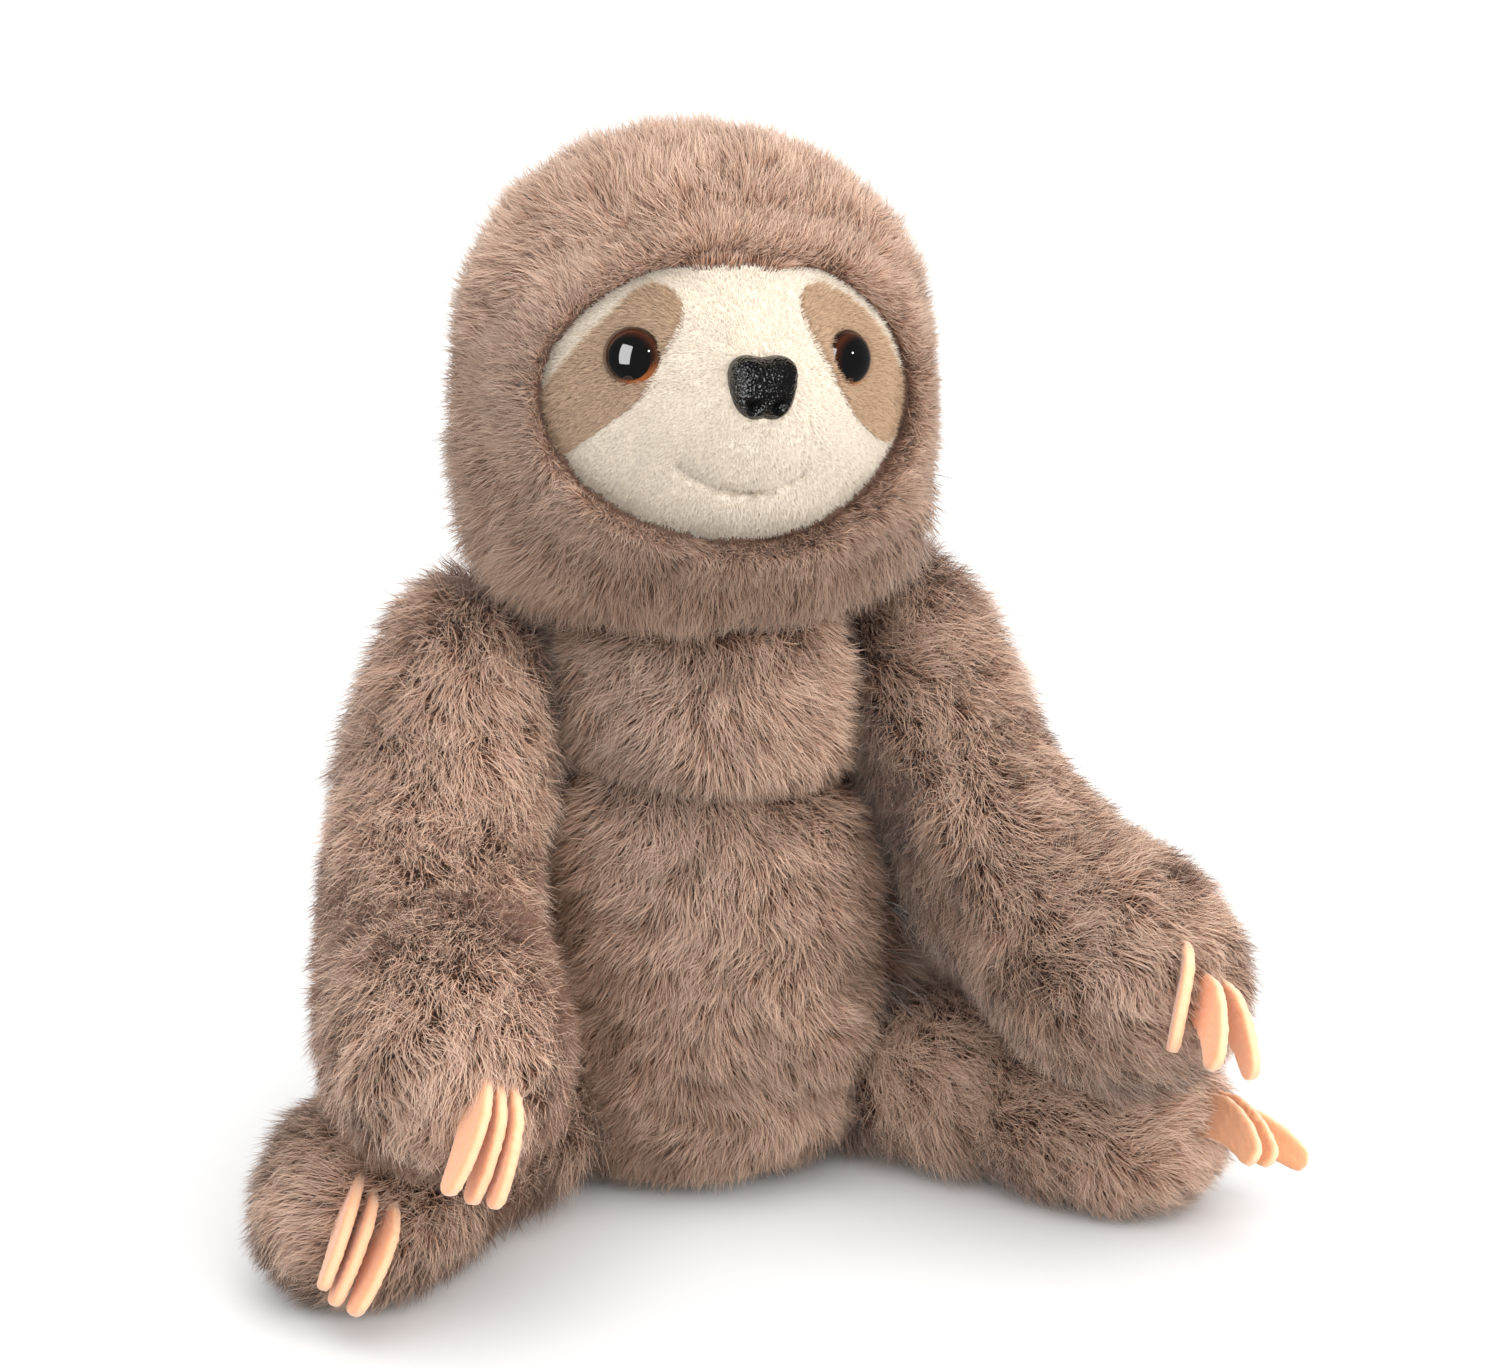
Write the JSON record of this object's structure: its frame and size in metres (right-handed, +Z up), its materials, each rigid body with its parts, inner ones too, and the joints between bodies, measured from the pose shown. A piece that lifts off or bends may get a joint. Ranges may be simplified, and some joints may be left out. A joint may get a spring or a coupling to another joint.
{
  "type": "plush sloth",
  "caption": "Seated stuffed toy sloth with long arms, short legs, a pale short-pile face, domed eyes and felt claws; its head and limbs turn at their seams.",
  "frame": {"origin": "on the ground plane under the middle of the torso, at the flat of the seat", "axes": "+Z up, -Y the way the toy faces, +X its own left side"},
  "size_m": [0.2661, 0.186, 0.2736],
  "materials": {
    "fur": "long clumped faux fur, taupe with paler tips",
    "face_pile": "short cream pile",
    "patch_pile": "short beige pile",
    "claw_felt": "thick felt",
    "amber_plastic": "polished, dark amber",
    "black_plastic": "polished black",
    "nose_plastic": "pebbled black",
    "washer_plastic": "natural white",
    "filling": "loose polyester filling",
    "sack_cloth": "woven cotton round plastic pellets"
  },
  "bodies": {
    "torso": {"torso_skin": "fur", "torso_filling": "filling", "pellet_sack": "sack_cloth"},
    "head": {"head_hood": "fur", "head_filling": "filling", "face_panel": "face_pile", "nose": "nose_plastic", "nose_washer": "washer_plastic", "eye_patch_left": "patch_pile", "eye_iris_left": "amber_plastic", "eye_core_left": "black_plastic", "eye_washer_left": "washer_plastic", "eye_patch_right": "patch_pile", "eye_iris_right": "amber_plastic", "eye_core_right": "black_plastic", "eye_washer_right": "washer_plastic"},
    "arm_left": {"arm_skin_left": "fur", "arm_filling_left": "filling", "arm_claw_left_1": "claw_felt", "arm_claw_left_2": "claw_felt", "arm_claw_left_3": "claw_felt"},
    "arm_right": {"arm_skin_right": "fur", "arm_filling_right": "filling", "arm_claw_right_1": "claw_felt", "arm_claw_right_2": "claw_felt", "arm_claw_right_3": "claw_felt"},
    "leg_left": {"leg_skin_left": "fur", "leg_filling_left": "filling", "leg_claw_left_1": "claw_felt", "leg_claw_left_2": "claw_felt", "leg_claw_left_3": "claw_felt"},
    "leg_right": {"leg_skin_right": "fur", "leg_filling_right": "filling", "leg_claw_right_1": "claw_felt", "leg_claw_right_2": "claw_felt", "leg_claw_right_3": "claw_felt"}
  },
  "joints": [
    {"name": "neck_turn", "type": "hinge", "parent": "torso", "child": "head", "pos_m": [0, 0, 0.155], "axis": [0, 0, 1], "range_deg": [-25, 25], "stiffness_Nm_per_rad": 0.08},
    {"name": "shoulder_left", "type": "hinge", "parent": "torso", "child": "arm_left", "pos_m": [0.038, 0.01, 0.134], "axis": [-1, 0, 0], "range_deg": [0, 45], "stiffness_Nm_per_rad": 0.1},
    {"name": "hip_left", "type": "hinge", "parent": "torso", "child": "leg_left", "pos_m": [0.033, -0.006, 0.024], "axis": [1, 0, 0], "range_deg": [0, 60], "stiffness_Nm_per_rad": 0.15},
    {"name": "shoulder_right", "type": "hinge", "parent": "torso", "child": "arm_right", "pos_m": [-0.038, 0.01, 0.134], "axis": [-1, 0, 0], "range_deg": [0, 45], "stiffness_Nm_per_rad": 0.1},
    {"name": "hip_right", "type": "hinge", "parent": "torso", "child": "leg_right", "pos_m": [-0.033, -0.006, 0.024], "axis": [1, 0, 0], "range_deg": [0, 60], "stiffness_Nm_per_rad": 0.15}
  ]
}
